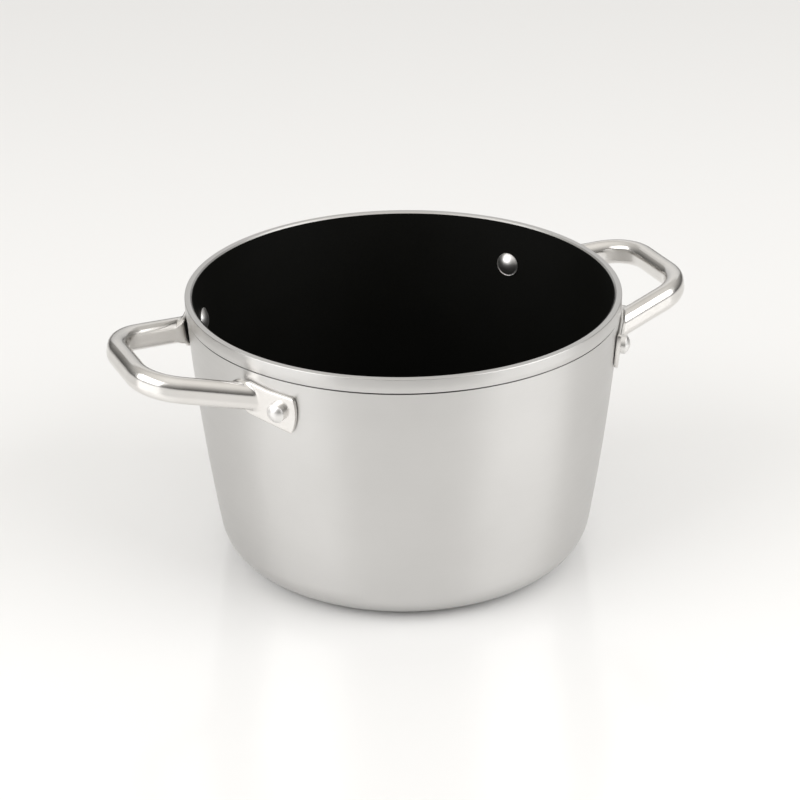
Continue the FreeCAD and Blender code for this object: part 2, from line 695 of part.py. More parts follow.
def make_handle_blank(side):
    """A handle before drilling: a bent oval tube with both ends pressed flat into tabs."""
    body = doc.addObject("PartDesign::Body", "HandleBlank")
    plane = handle_plane()
    path = new_sketch(body, "TubePath", placement=plane)
    add_tube_path(path)

    start_along, start_half = leg_point(size("tube_end_x"))
    spread = leg_spread()
    start = FreeCAD.Vector(start_along, start_half, 0)
    across = FreeCAD.Vector(math.sin(spread), math.cos(spread), 0)
    local = FreeCAD.Placement(start, FreeCAD.Rotation(across, AXIS_Z, across.cross(AXIS_Z), "XYZ"))
    for kind, name, walls in (("AdditivePipe", "Outside", 0), ("SubtractivePipe", "Inside", 2)):
        section = new_sketch(body, f"Tube{name}", placement=plane.multiply(local))
        wall = walls * size("tube_wall")
        wall_text = f"{walls} * Sheet.tube_wall"
        width_text = f"Sheet.tube_width - {wall_text}"
        height_text = f"Sheet.tube_height - {wall_text}"
        width = size("tube_width") - wall
        height = size("tube_height") - wall
        add_slot(section, width, width_text, height, height_text)
        pipe = body.newObject(f"PartDesign::{kind}", f"Tube{name}Pipe")
        pipe.Profile = section
        pipe.Spine = path
        doc.recompute()

    end_features = add_flattened_end(body)
    mirror = body.newObject("PartDesign::Mirrored", "OtherEnd")
    mirror.Originals = end_features
    mirror.MirrorPlane = (origin_feature(body, "XZ_Plane"), [""])
    body.Tip = mirror
    if side < 0:
        body.Placement = FreeCAD.Placement(FreeCAD.Vector(0, 0, 0), FreeCAD.Rotation(AXIS_Z, 180))
    doc.recompute()
    return body


# ---------------------------------------------------------------- the whole pot

def build():
    """Make every sub-part and return them in the order they go together."""
    drills = make_drills()
    disc = make_induction_disc()
    base_with_pocket = cut("PressedBase", make_pot_blank(), disc)
    parts = [
        cut("pot_body", base_with_pocket, drills),
        cut("nonstick_lining", make_lining_blank(), drills),
        disc,
        cut("handle_left", make_handle_blank(-1), drills),
        cut("handle_right", make_handle_blank(1), drills),
    ]
    parts += [make_rivet(name, side, end) for name, (side, end) in RIVET_CORNERS.items()]
    doc.recompute()
    return parts


def check(parts):
    """Stop if any feature failed or any sub-part is not one sound solid."""
    for item in doc.Objects:
        failed = [state for state in item.State if state in ("Invalid", "Error")]
        if failed:
            raise RuntimeError(f"{item.Name} is {failed}")
    for part in parts:
        shape = part.Shape
        if shape.isNull() or not shape.isValid() or len(shape.Solids) != 1:
            raise RuntimeError(f"{part.Label} is not one valid solid")
        shells = 2 if part.Label in SEALED_HOLLOW else 1
        if len(shape.Shells) != shells:
            raise RuntimeError(f"{part.Label} has {len(shape.Shells)} shells, and not {shells}")


def export(parts):
    """Write each sub-part to its own file."""
    os.makedirs("parts", exist_ok=True)
    for part in parts:
        part.Shape.exportStep(f"parts/{part.Label}.step")
        box = part.Shape.BoundBox
        extent = f"{box.XLength:.1f} x {box.YLength:.1f} x {box.ZLength:.1f}"
        print(f"{part.Label}: {part.Shape.Volume:.0f} mm3, {extent} mm")


sub_parts = build()
check(sub_parts)
export(sub_parts)
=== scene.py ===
"""A low, wide stock pot with riveted tube handles: its looks, studio and camera, round the CAD frame.

Shapes are worked out in millimetres and placed in metres, in the CAD model's frame. The rivets and the
pressed ends of the handles have slightly different sizes from the CAD model's.
"""

import json
import math

import bmesh
import bpy
import numpy as np
from mathutils import Matrix, Vector

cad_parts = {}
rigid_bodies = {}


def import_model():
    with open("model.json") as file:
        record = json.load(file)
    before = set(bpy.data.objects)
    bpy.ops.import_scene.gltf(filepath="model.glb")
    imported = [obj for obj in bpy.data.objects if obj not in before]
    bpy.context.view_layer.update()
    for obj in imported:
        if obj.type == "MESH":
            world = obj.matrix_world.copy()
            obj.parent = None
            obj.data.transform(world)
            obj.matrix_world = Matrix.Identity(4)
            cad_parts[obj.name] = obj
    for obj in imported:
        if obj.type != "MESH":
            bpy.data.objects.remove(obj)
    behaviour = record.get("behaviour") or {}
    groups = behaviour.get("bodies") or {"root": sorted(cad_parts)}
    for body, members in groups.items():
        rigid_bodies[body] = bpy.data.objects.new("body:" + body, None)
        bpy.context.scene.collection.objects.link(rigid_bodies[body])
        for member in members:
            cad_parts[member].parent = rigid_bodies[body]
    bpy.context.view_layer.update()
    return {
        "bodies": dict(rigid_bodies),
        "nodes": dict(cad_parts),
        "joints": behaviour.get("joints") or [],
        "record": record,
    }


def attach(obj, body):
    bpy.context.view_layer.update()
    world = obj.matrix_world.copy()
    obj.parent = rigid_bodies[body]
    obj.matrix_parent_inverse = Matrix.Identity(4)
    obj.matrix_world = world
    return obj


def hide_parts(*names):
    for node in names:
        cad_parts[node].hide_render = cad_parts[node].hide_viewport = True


MM = 0.001
ROOT = "root"

# Pot wall
POT_HEIGHT = 159.6
RIM_RADIUS = 124.99
RIM_ROUND = 0.5
RIM_CHAMFER = 0.8
BAND_BOTTOM = 151.0
GROOVE_HALF = 0.5
GROOVE_DEPTH = 1.0
BAND_EDGE_IN = 0.08
BAND_EDGE_LOW = 0.03
BAND_EDGE_HIGH = 0.12
WALL_TOP_RADIUS = 124.5
WALL_TOP_SLOPE = math.radians(3.9)
WALL_BOW = 1480.0
CORNER_RADIUS = 23.3
WALL_THICKNESS = 4.0
BASE_THICKNESS = 5.4
INNER_CORNER_RADIUS = 19.0
COATING = 0.5
DISC_RADIUS = 80.0
DISC_SEAT = 0.03
DISC_GAP = 0.15
DISC_MARGIN = 0.5

# Handle
HANDLE_TILT = math.radians(9.0)
LEG_ROOT_X = 112.0
LEG_ROOT_HALF = 51.6
LEG_ROOT_HEIGHT = 135.4
GRIP_X = 166.6
GRIP_HALF = 33.4
GRIP_BEND = 27.0
TUBE_WIDTH = 11.6
TUBE_HEIGHT = 15.0
TAB_THICKNESS = 2.4
TAB_DROOP = math.radians(7.6)
TAB_TIP_HEIGHT = 22.4
TAB_ROOT = 8.0
TAB_TIP = 11.1
TAB_TIP_RADIUS = 30.0
TAB_CORNER = 1.8
CONTACT_AZIMUTH = math.radians(26.0)
CONTACT_CLEARANCE = 0.7
FLATTEN_SHOULDER_RADIUS = 5.0
FLARE_START_X = 138.0
FLARE_LENGTH = 10.0
HIDDEN_FLANGE = 8.0
FLARED_FLANGE = 15.6
FLANGE_RISE = 0.9
LEAN_BEFORE = 4.0
LEAN_AFTER = 7.0
INNER_CORNER_BLEND = 3.0
TAB_BEND_BLEND = 0.3
SHOULDER_FILLET = 1.4
TIP_EDGE_BREAK = 0.22
TIP_EDGE = ((1.0, 0.0), (0.3, 0.3), (0.0, 1.0))

# Rivets
RIVET_AZIMUTH = math.radians(33.2)
RIVET_HEIGHT = 132.5
SHANK_RADIUS = 3.0
HEAD_RADIUS = 5.5
HEAD_SIDE = 3.1
HEAD_CROWN = 2.2
HEAD_EDGE = 0.55
INNER_HEAD_RADIUS = 7.2
INNER_HEAD_CROWN = 2.9
INNER_HEAD_GAP = 0.3
INNER_HEAD_EDGE = 0.3
HEAD_EDGE_SWEEP = math.pi / 2.4
INNER_EDGE_SWEEP = math.pi / 2.6

# Mesh fineness
AROUND_POT = 384
AROUND_RIVET = 64
SEAT_STEPS = 8
SLOT_ARC_STEPS = 90
SHARP_ANGLE = math.radians(38)
ON_AXIS = 1e-6
HALF_RING_STEPS = 52
RAYS = 181
MARCH_STEPS = 90
MARCH_SHARE = 0.8
GRIP_STEPS = 14
BEND_STEPS = 44
LEG_STEPS = 44
SHOULDER_STEPS = 44
ROOT_STEPS = 10
MIDDLE_STEPS = 40
TAB_STEPS = 30

# Camera
LENS_MM = 109.8
SENSOR_MM = 36.0
CAMERA_AZIMUTH = math.radians(-23.8)
CAMERA_ELEVATION = math.radians(25.37)
CAMERA_DISTANCE = 1.428
CAMERA_AIM_HEIGHT = 0.0886
CAMERA_SIDESTEP = -0.00252
CAMERA_ROLL = math.radians(-0.615)


# ---------------------------------------------------------------- outlines in (radius, height)

def bow_centre():
    """Centre of the wall's long, slightly bowed arc."""
    across = WALL_TOP_RADIUS - WALL_BOW * math.cos(WALL_TOP_SLOPE)
    return across, BAND_BOTTOM + WALL_BOW * math.sin(WALL_TOP_SLOPE)


def wall_radius(height, inset=0.0):
    """Radius of the wall's outer face, or of a face inset from it, at a height."""
    across, up = bow_centre()
    return across + math.sqrt((WALL_BOW - inset) ** 2 - (up - height) ** 2)


def wall_slope(height):
    """Lean of the wall from the vertical at a height."""
    return math.asin((bow_centre()[1] - height) / WALL_BOW)


def arc(centre, radius, start, end, steps):
    """Points along a circular arc, both ends included."""
    return [
        (
            centre[0] + radius * math.cos(start + (end - start) * step / steps),
            centre[1] + radius * math.sin(start + (end - start) * step / steps),
        )
        for step in range(steps + 1)
    ]


def bowl_curve(inset, floor, corner, top):
    """Floor, corner arc and bowed wall, from the axis outwards and up to a height."""
    across, up = bow_centre()
    bow = WALL_BOW - inset
    corner_up = floor + corner
    corner_across = across + math.sqrt((bow - corner) ** 2 - (up - corner_up) ** 2)
    lean = math.atan2(up - corner_up, corner_across - across)
    floor_steps, corner_steps, wall_steps = 12, 20, 32
    points = [(corner_across * step / floor_steps, floor) for step in range(floor_steps)]
    points += arc((corner_across, corner_up), corner, -math.pi / 2, -lean, corner_steps)
    points += arc((across, up), bow, -lean, math.asin((top - up) / bow), wall_steps)[1:]
    return points


def pot_outline():
    """Closed outline of the aluminium pot, from the middle of the base to the middle of the floor."""
    outside = bowl_curve(0.0, 0.0, CORNER_RADIUS, BAND_BOTTOM - GROOVE_HALF)
    beyond_disc = [point for point in outside if point[0] > DISC_RADIUS + DISC_MARGIN]
    seat = [(DISC_RADIUS * step / SEAT_STEPS, DISC_SEAT) for step in range(SEAT_STEPS + 1)]
    inside = bowl_curve(WALL_THICKNESS, BASE_THICKNESS, INNER_CORNER_RADIUS, POT_HEIGHT - RIM_CHAMFER)
    bore = inside[-1][0]
    rim_centre = (RIM_RADIUS - RIM_ROUND, POT_HEIGHT - RIM_ROUND)
    rim = [
        (RIM_RADIUS - GROOVE_DEPTH, BAND_BOTTOM),
        (RIM_RADIUS - BAND_EDGE_IN, BAND_BOTTOM + GROOVE_HALF - BAND_EDGE_LOW),
        (RIM_RADIUS, BAND_BOTTOM + GROOVE_HALF + BAND_EDGE_HIGH),
        (RIM_RADIUS, (BAND_BOTTOM + POT_HEIGHT) / 2),
    ]
    rim += arc(rim_centre, RIM_ROUND, 0, math.pi / 2, steps=6)
    rim += [((rim_centre[0] + bore + RIM_CHAMFER) / 2, POT_HEIGHT), (bore + RIM_CHAMFER, POT_HEIGHT)]
    return seat + [(DISC_RADIUS + DISC_GAP, 0.0)] + beyond_disc + rim + inside[::-1]


def lining_outline():
    """Closed outline of the coating: its own face, the lip under the rim's chamfer, and its back."""
    top = POT_HEIGHT - RIM_CHAMFER
    face = bowl_curve(
        WALL_THICKNESS + COATING, BASE_THICKNESS + COATING, INNER_CORNER_RADIUS - COATING, top
    )
    back = bowl_curve(WALL_THICKNESS, BASE_THICKNESS, INNER_CORNER_RADIUS, top)
    return back + face[::-1]


def dome(radius, crown, base, steps):
    """A low dome's outline from its rim to its top, standing on base."""
    ball = (radius ** 2 + crown ** 2) / (2 * crown)
    rim_angle = math.asin((ball - crown) / ball)
    return arc((0, base + crown - ball), ball, rim_angle, math.pi / 2, steps)


def rivet_outline():
    """Outline of a rivet: set head inside the pot, shank, and button head outside the tab."""
    seat = -WALL_THICKNESS - COATING - INNER_HEAD_GAP
    brim = TAB_THICKNESS + HEAD_SIDE
    inner_rim = INNER_HEAD_RADIUS - INNER_HEAD_EDGE
    inner_dome = dome(inner_rim, INNER_HEAD_CROWN - INNER_HEAD_EDGE, 0, steps=14)[::-1]
    points = [(r, seat - INNER_HEAD_EDGE - z) for r, z in inner_dome]
    points += arc((inner_rim, seat - INNER_HEAD_EDGE), INNER_HEAD_EDGE, -INNER_EDGE_SWEEP, 0, steps=5)
    points += [(INNER_HEAD_RADIUS, seat), (SHANK_RADIUS, seat), (SHANK_RADIUS, TAB_THICKNESS)]
    points += [(HEAD_RADIUS, TAB_THICKNESS), (HEAD_RADIUS, TAB_THICKNESS + HEAD_SIDE / 2)]
    points += arc((HEAD_RADIUS - HEAD_EDGE, brim - HEAD_EDGE), HEAD_EDGE, 0, HEAD_EDGE_SWEEP, steps=6)
    points += dome(HEAD_RADIUS - HEAD_EDGE, HEAD_CROWN, brim, steps=16)[1:]
    return points


# ---------------------------------------------------------------- mesh building

def finish_mesh(name, build, placement=None):
    """Turn a bmesh into an object with smooth faces and crisp edges, in metres."""
    bmesh.ops.recalc_face_normals(build, faces=build.faces)
    for face in build.faces:
        face.smooth = True
    for edge in build.edges:
        edge.smooth = edge.is_manifold and edge.calc_face_angle(0.0) < SHARP_ANGLE
    if placement is not None:
        build.transform(placement)
    build.transform(Matrix.Scale(MM, 4))
    mesh = bpy.data.meshes.new(name)
    build.to_mesh(mesh)
    build.free()
    piece = bpy.data.objects.new(name, mesh)
    bpy.context.scene.collection.objects.link(piece)
    return piece


def path_lengths(points):
    """Distance run along a path at each of its points, in metres."""
    run = [0.0]
    for point, after in zip(points, points[1:]):
        run.append(run[-1] + math.dist(point, after) * MM)
    return run


def turned_ring(build, radius, height, around):
    """Ring of vertices at a radius and height; on the axis it is one vertex, repeated."""
    if radius < ON_AXIS:
        return [build.verts.new((0, 0, height))] * around
    angles = [2 * math.pi * step / around for step in range(around)]
    return [build.verts.new((radius * math.cos(a), radius * math.sin(a), height)) for a in angles]


def lathe(name, outline, around, placement=None):
    """Turn an outline that starts and ends on the vertical axis.

    The UV map holds the share of a turn and the distance along the outline, in metres.
    """
    build = bmesh.new()
    uv_layer = build.loops.layers.uv.new("Turned")
    run = path_lengths(outline)
    rings = [turned_ring(build, radius, height, around) for radius, height in outline]
    for index, (low, high) in enumerate(zip(rings, rings[1:])):
        for step in range(around):
            after = (step + 1) % around
            corners = (
                (low[step], step, index),
                (low[after], step + 1, index),
                (high[after], step + 1, index + 1),
                (high[step], step, index + 1),
            )
            kept = [c for n, c in enumerate(corners) if c[0] not in [d[0] for d in corners[:n]]]
            face = build.faces.new([c[0] for c in kept])
            for loop, (_, turn, row) in zip(face.loops, kept):
                loop[uv_layer].uv = (turn / around, run[row])
    return finish_mesh(name, build, placement)


def wall_frame(azimuth, height, side=1, end=1):
    """Frame on the wall's outer face: +Z outwards from the wall, +Y up it."""
    slope = wall_slope(height)
    outward = Vector((side * math.cos(azimuth), end * math.sin(azimuth), 0))
    up_axis = Vector((0, 0, 1))
    normal = outward * math.cos(slope) - up_axis * math.sin(slope)
    up = outward * math.sin(slope) + up_axis * math.cos(slope)
    across = up.cross(normal)
    place = outward * wall_radius(height) + up_axis * height
    return Matrix.Translation(place) @ Matrix((across, up, normal)).transposed().to_4x4()


def rivet_frame(side, end):
    """Frame on the wall at one rivet: +Z along the rivet outwards."""
    return wall_frame(RIVET_AZIMUTH, RIVET_HEIGHT, side, end)


# ---------------------------------------------------------------- handle shape

def smooth_step(share):
    """Ease from 0 to 1; works on arrays."""
    share = np.clip(share, 0.0, 1.0)
    return share * share * (3 - 2 * share)


def rounded_smaller(first, second, width):
    """The smaller of two distances, with a rounded change from one to the other."""
    width = np.maximum(width, 1e-6)
    near = np.maximum(width - np.abs(first - second), 0.0)
    return np.minimum(first, second) - near ** 2 / (4 * width)


def slot_distance(across, up, thickness, height):
    """Distance to the outline of a slot that is centred on zero; negative inside."""
    flat = height / 2 - thickness / 2
    return np.hypot(across, np.maximum(np.abs(up) - flat, 0.0)) - thickness / 2


def spread_evenly(outline, steps):
    """Points evenly spaced along an outline, its ends included."""
    outline = np.array(outline)
    run = np.append(0.0, np.cumsum(np.linalg.norm(np.diff(outline, axis=0), axis=1)))
    wanted = np.linspace(0.0, run[-1], steps + 1)
    return np.stack([np.interp(wanted, run, axis) for axis in outline.T], axis=1)


def slot_ring(thickness, height):
    """Closed ring of a slot as (outward, up), from its outer face, measured from its inner face."""
    radius = thickness / 2
    edge = arc((radius, height / 2 - radius), radius, 0, math.pi, SLOT_ARC_STEPS)
    upper = spread_evenly([(thickness, 0.0)] + edge + [(0.0, 0.0)], HALF_RING_STEPS)
    return np.concatenate((upper, upper[-2:0:-1] * (1, -1)))


def pressed_height(thickness):
    """Height of the tube once it is pressed to a thickness: its skin keeps the same length."""
    return TUBE_HEIGHT + (math.pi / 2 - 1) * (TUBE_WIDTH - thickness)


def handle_point(along, across):
    """A point of the tilted plane that the tube is bent in."""
    x = LEG_ROOT_X + along * math.cos(HANDLE_TILT)
    return Vector((x, across, LEG_ROOT_HEIGHT + along * math.sin(HANDLE_TILT)))


def handle_direction(along, across):
    """A direction in the tilted plane."""
    return handle_point(along, across) - handle_point(0, 0)


def tube_up():
    """Direction across the tilted plane, upwards."""
    return Vector((-math.sin(HANDLE_TILT), 0, math.cos(HANDLE_TILT)))


def leg_spread():
    """Angle between a leg and the handle's own centre line."""
    reach = (GRIP_X - LEG_ROOT_X) / math.cos(HANDLE_TILT)
    return math.atan2(LEG_ROOT_HALF - GRIP_HALF, reach)


def leg_point(x):
    """Point of the leg's centre line at a distance x from the pot's axis, in the tilted plane."""
    along = (x - LEG_ROOT_X) / math.cos(HANDLE_TILT)
    return along, LEG_ROOT_HALF - along * math.tan(leg_spread())


def tube_rings():
    """Rings of half the tube, from the middle of the grip to where the leg starts to flare."""
    turn = math.pi / 2 - leg_spread()
    trim = GRIP_BEND * math.tan(turn / 2)
    grip_along, grip_half = leg_point(GRIP_X)
    bend_half = grip_half - trim
    centre = (grip_along - GRIP_BEND, bend_half)

    line = [(grip_along, bend_half * step / GRIP_STEPS, 0.0) for step in range(GRIP_STEPS)]
    for step in range(BEND_STEPS + 1):
        angle = turn * step / BEND_STEPS
        line.append((
            centre[0] + GRIP_BEND * math.cos(angle), centre[1] + GRIP_BEND * math.sin(angle), angle
        ))

    ring = slot_ring(TUBE_WIDTH, TUBE_HEIGHT)
    rings = []
    for along, across, angle in line:
        outward = handle_direction(math.cos(angle), math.sin(angle))
        inner = handle_point(along, across) - outward * TUBE_WIDTH / 2
        rings.append([inner + outward * out + tube_up() * up for out, up in ring])
    return rings


def meet(point, direction, plane_point, plane_normal):
    """Where a line meets a plane."""
    distance = (plane_point - point).dot(plane_normal) / direction.dot(plane_normal)
    return point + direction * distance


def tab_frame():
    """Frame of the tab: +X along it to its tip, +Y across it, +Z outwards from the wall."""
    return rivet_frame(1, 1) @ Matrix.Rotation(-TAB_DROOP, 4, "Z")


class LegEnd:
    """The end of a leg, where the round tube is pressed into the flat flange against the wall."""

    def __init__(self):
        spread = leg_spread()
        self.toward_pot = handle_direction(-math.cos(spread), math.sin(spread))
        self.inner_side = handle_direction(-math.sin(spread), -math.cos(spread))
        self.start = handle_point(*leg_point(FLARE_START_X))
        self.tube_up = tube_up()
        tab = tab_frame()
        self.tab_along, self.tab_up, self.tab_out = (tab.to_3x3().col[axis].copy() for axis in range(3))
        self.base = tab.translation.copy()
        self.wall_root = self.base - self.tab_along * TAB_ROOT
        self.face_root = self.wall_root + self.tab_out * TAB_THICKNESS

        contact = wall_frame(CONTACT_AZIMUTH, LEG_ROOT_HEIGHT)
        contact_out = contact.to_3x3().col[2]
        contact_point = contact.translation + contact_out * CONTACT_CLEARANCE
        inner_start = self.start + self.inner_side * TUBE_WIDTH / 2
        self.inner_corner = meet(inner_start, self.toward_pot, contact_point, contact_out)
        self.back_out = (self.wall_root - self.inner_corner).cross(self.tab_up).normalized()
        self.onwards = (self.toward_pot + self.tab_along).normalized()

    def depth(self, points):
        """How far points lie in front of the surface that the flange follows."""
        leg = TUBE_WIDTH / 2 - (points - self.start) @ self.inner_side
        root = (points - self.wall_root) @ self.back_out
        tab = (points - self.base) @ self.tab_out
        wall = -rounded_smaller(-root, -tab, TAB_BEND_BLEND)
        return rounded_smaller(leg, wall, INNER_CORNER_BLEND)

    def flange_distance(self, points, depth, tube_height, past):
        """Distance to the flat flange, whose height grows on its way to the tab."""
        leaning = smooth_step((past + LEAN_BEFORE) / (LEAN_BEFORE + LEAN_AFTER))
        tab_height = (points - self.base) @ self.tab_up
        flared = smooth_step(1 + past / FLARE_LENGTH)
        rise = FLANGE_RISE * flared * (1 - smooth_step(past / LEAN_AFTER))
        up = tube_height * (1 - leaning) + tab_height * leaning - rise
        height = HIDDEN_FLANGE + (FLARED_FLANGE - HIDDEN_FLANGE) * flared
        height += (pressed_height(TAB_THICKNESS) - FLARED_FLANGE) * smooth_step(past / LEAN_AFTER)
        return slot_distance(depth - TAB_THICKNESS / 2, up, TAB_THICKNESS, height)

    def distance(self, points):
        """Distance of points to the leg's skin; negative inside."""
        from_axis = points - self.start
        tube_height = from_axis @ self.tube_up
        tube = slot_distance(from_axis @ self.inner_side, tube_height, TUBE_WIDTH, TUBE_HEIGHT)
        depth = self.depth(points)
        past = (points - self.inner_corner) @ self.onwards
        flange = self.flange_distance(points, depth, tube_height, past)
        fillet = SHOULDER_FILLET * smooth_step(1 + past / FLARE_LENGTH)
        return np.maximum(rounded_smaller(tube, flange, fillet), -depth)

    def section_line(self):
        """Outer line from the leg to the tab, as (point, direction, up) for each section."""
        outer_start = self.start - self.inner_side * TUBE_WIDTH / 2
        corner = meet(outer_start, self.toward_pot, self.face_root, self.tab_out)
        corner = self.face_root + self.tab_along * (corner - self.face_root).dot(self.tab_along)
        turn = self.toward_pot.angle(self.tab_along)
        trim = FLATTEN_SHOULDER_RADIUS * math.tan(turn / 2)
        entry = corner + (outer_start - corner).normalized() * trim
        leave = corner + self.tab_along * trim
        line = []
        for step in range(LEG_STEPS):
            point = outer_start.lerp(entry, step / LEG_STEPS)
            line.append((point, self.toward_pot, self.tube_up))
        for step in range(SHOULDER_STEPS):
            share = step / SHOULDER_STEPS
            point = entry.lerp(corner, share).lerp(corner.lerp(leave, share), share)
            along = self.toward_pot.slerp(self.tab_along, share)
            line.append((point, along, self.tube_up.lerp(self.tab_up, smooth_step(share))))
        for step in range(ROOT_STEPS + 1):
            line.append((leave.lerp(self.face_root, step / ROOT_STEPS), self.tab_along, self.tab_up))
        return line

    def middle(self, point, outward):
        """The point behind an outer point that lies in the middle of the flange's thickness."""
        near, far = 0.0, TUBE_WIDTH * 1.5
        for _ in range(MIDDLE_STEPS):
            back = (near + far) / 2
            if self.depth(np.array([point - outward * back]))[0] > TAB_THICKNESS / 2:
                near = back
            else:
                far = back
        return point - outward * near

    def ring(self, point, along, up):
        """Ring of points on the skin, in the plane through a point across a direction."""
        up = (up - along * up.dot(along)).normalized()
        outward = up.cross(along).normalized()
        if outward.dot(self.inner_side) > 0:
            outward = -outward
        centre = np.array(self.middle(point, outward))
        halves = []
        for side in (1, -1):
            angles = np.linspace(0, math.pi, RAYS)
            rays = np.outer(np.cos(angles), outward) + np.outer(np.sin(angles) * side, up)
            reach = np.zeros(RAYS)
            for _ in range(MARCH_STEPS):
                reach -= self.distance(centre + rays * reach[:, None]) * MARCH_SHARE
            halves.append(spread_evenly(centre + rays * reach[:, None], HALF_RING_STEPS))
        return [Vector(place) for place in np.concatenate((halves[0], halves[1][-2:0:-1]))]

    def rings(self):
        """All rings from the leg to the tab's root."""
        return [self.ring(*section) for section in self.section_line()]


def tip_reach(up):
    """How far along the tab its sheared tip lies, at a height above the tab's centre line."""
    half = TAB_TIP_HEIGHT / 2
    corner_up = half - TAB_CORNER
    flank = TAB_TIP - TAB_TIP_RADIUS
    corner_across = flank + math.sqrt((TAB_TIP_RADIUS - TAB_CORNER) ** 2 - corner_up ** 2)
    lean = math.atan2(corner_up, corner_across - flank)
    up = min(abs(up), half)
    if up < TAB_TIP_RADIUS * math.sin(lean):
        return flank + math.sqrt(TAB_TIP_RADIUS ** 2 - up ** 2)
    return corner_across + math.sqrt(max(0.0, TAB_CORNER ** 2 - (up - corner_up) ** 2))


def tab_rings():
    """Rings of points from the tab's root to its tip, with the sheared edge slightly broken."""
    frame = tab_frame()
    root_height = pressed_height(TAB_THICKNESS)
    middle = TAB_THICKNESS / 2
    stages = [(step / TAB_STEPS, 0.0, 0.0) for step in range(1, TAB_STEPS)]
    stages += [(1.0, back, pinch) for back, pinch in TIP_EDGE]
    rings = []
    for share, back, pinch in stages:
        height = root_height + (TAB_TIP_HEIGHT - root_height) * share
        shrink = 1 - pinch * TIP_EDGE_BREAK / middle
        ring = []
        for out, up in slot_ring(TAB_THICKNESS, height):
            reach = tip_reach(up * TAB_TIP_HEIGHT / height) - back * TIP_EDGE_BREAK
            along = -TAB_ROOT + (reach + TAB_ROOT) * share
            ring.append(frame @ Vector((along, up, middle + (out - middle) * shrink)))
        rings.append(ring)
    return rings


def half_handle_rings():
    """All rings of half a handle, from the middle of the grip to the tip of the tab."""
    return tube_rings() + LegEnd().rings() + tab_rings()


def make_handle(name, side):
    """A loop handle: one closed skin swept from tab to tab, with a cap at each sheared tip."""
    half = half_handle_rings()
    mirrored = [[Vector((p.x, -p.y, p.z)) for p in ring] for ring in half[:0:-1]]
    rings = mirrored + half
    build = bmesh.new()
    uv_layer = build.loops.layers.uv.new("Swept")
    turned = Matrix.Rotation(0 if side > 0 else math.pi, 4, "Z")
    verts = [[build.verts.new(turned @ point) for point in ring] for ring in rings]
    count = len(half[0])
    run = path_lengths([ring[0] for ring in rings])
    for row in range(len(rings) - 1):
        for column in range(count):
            after = (column + 1) % count
            face = build.faces.new((
                verts[row][column], verts[row][after], verts[row + 1][after], verts[row + 1][column]
            ))
            corners = ((column, row), (column + 1, row), (column + 1, row + 1), (column, row + 1))
            for loop, (turn, along) in zip(face.loops, corners):
                loop[uv_layer].uv = (turn / count, run[along])
    for ring in (verts[0], verts[-1]):
        cap_tip(build, ring)
    return finish_mesh(name, build)


def cap_tip(build, ring):
    """Close a tip with quads across its thickness."""
    count = len(ring)
    middle = count // 4
    for step in range(count // 2):
        near = ring[(middle - step) % count], ring[(middle - step - 1) % count]
        far = ring[(middle + step) % count], ring[(middle + step + 1) % count]
        corners = []
        for vert in (near[0], near[1], far[1], far[0]):
            if vert not in corners:
                corners.append(vert)
        if len(corners) > 2:
            build.faces.new(corners)


# ---------------------------------------------------------------- materials

# The part of a noise texture's range that most of its values lie in
NOISE_LOW = 0.3
NOISE_HIGH = 0.7
# Painted shade in the groove: its reach and where it ends, as shares of the groove, and its brightness
PAINTED_SHADE_REACH = 0.8
UNSHADED_FROM = 1.2
PAINTED_SHADE_TONE = 0.22


def new_material(name):
    """A node material with its shader and a place to add nodes."""
    material = bpy.data.materials.new(name)
    material.use_nodes = True
    nodes = material.node_tree.nodes
    return material, nodes, material.node_tree.links, nodes["Principled BSDF"]


def math_node(nodes, links, operation, first, second):
    """A maths node; either input is a number or another node's output."""
    node = nodes.new("ShaderNodeMath")
    node.operation = operation
    for socket, value in zip(node.inputs, (first, second)):
        if isinstance(value, (int, float)):
            socket.default_value = value
        else:
            links.new(value, socket)
    return node.outputs[0]


def noise_node(nodes, links, vector, scale, detail, roughness=0.5):
    """A noise texture's value."""
    node = nodes.new("ShaderNodeTexNoise")
    node.inputs["Scale"].default_value = scale
    node.inputs["Detail"].default_value = detail
    node.inputs["Roughness"].default_value = roughness
    links.new(vector, node.inputs["Vector"])
    return node.outputs["Fac"]


def stretched(nodes, links, vector, scale):
    """A vector scaled by a different amount along each axis."""
    node = nodes.new("ShaderNodeMapping")
    node.inputs["Scale"].default_value = scale
    links.new(vector, node.inputs["Vector"])
    return node.outputs["Vector"]


def spread_node(nodes, links, value, low, high):
    """Map noise around one half onto a range."""
    node = nodes.new("ShaderNodeMapRange")
    node.inputs["From Min"].default_value = NOISE_LOW
    node.inputs["From Max"].default_value = NOISE_HIGH
    node.inputs["To Min"].default_value = low
    node.inputs["To Max"].default_value = high
    links.new(value, node.inputs["Value"])
    return node.outputs["Result"]


def tone_node(nodes, links, value, dark, light):
    """Blend two colours by noise around one half."""
    node = nodes.new("ShaderNodeValToRGB")
    node.color_ramp.elements[0].position = NOISE_LOW
    node.color_ramp.elements[0].color = (*dark, 1)
    node.color_ramp.elements[1].position = NOISE_HIGH
    node.color_ramp.elements[1].color = (*light, 1)
    links.new(value, node.inputs["Fac"])
    return node.outputs["Color"]


def bump_node(nodes, links, height, strength, distance):
    """A bump from a height value."""
    node = nodes.new("ShaderNodeBump")
    node.inputs["Strength"].default_value = strength
    node.inputs["Distance"].default_value = distance
    links.new(height, node.inputs["Height"])
    return node.outputs["Normal"]


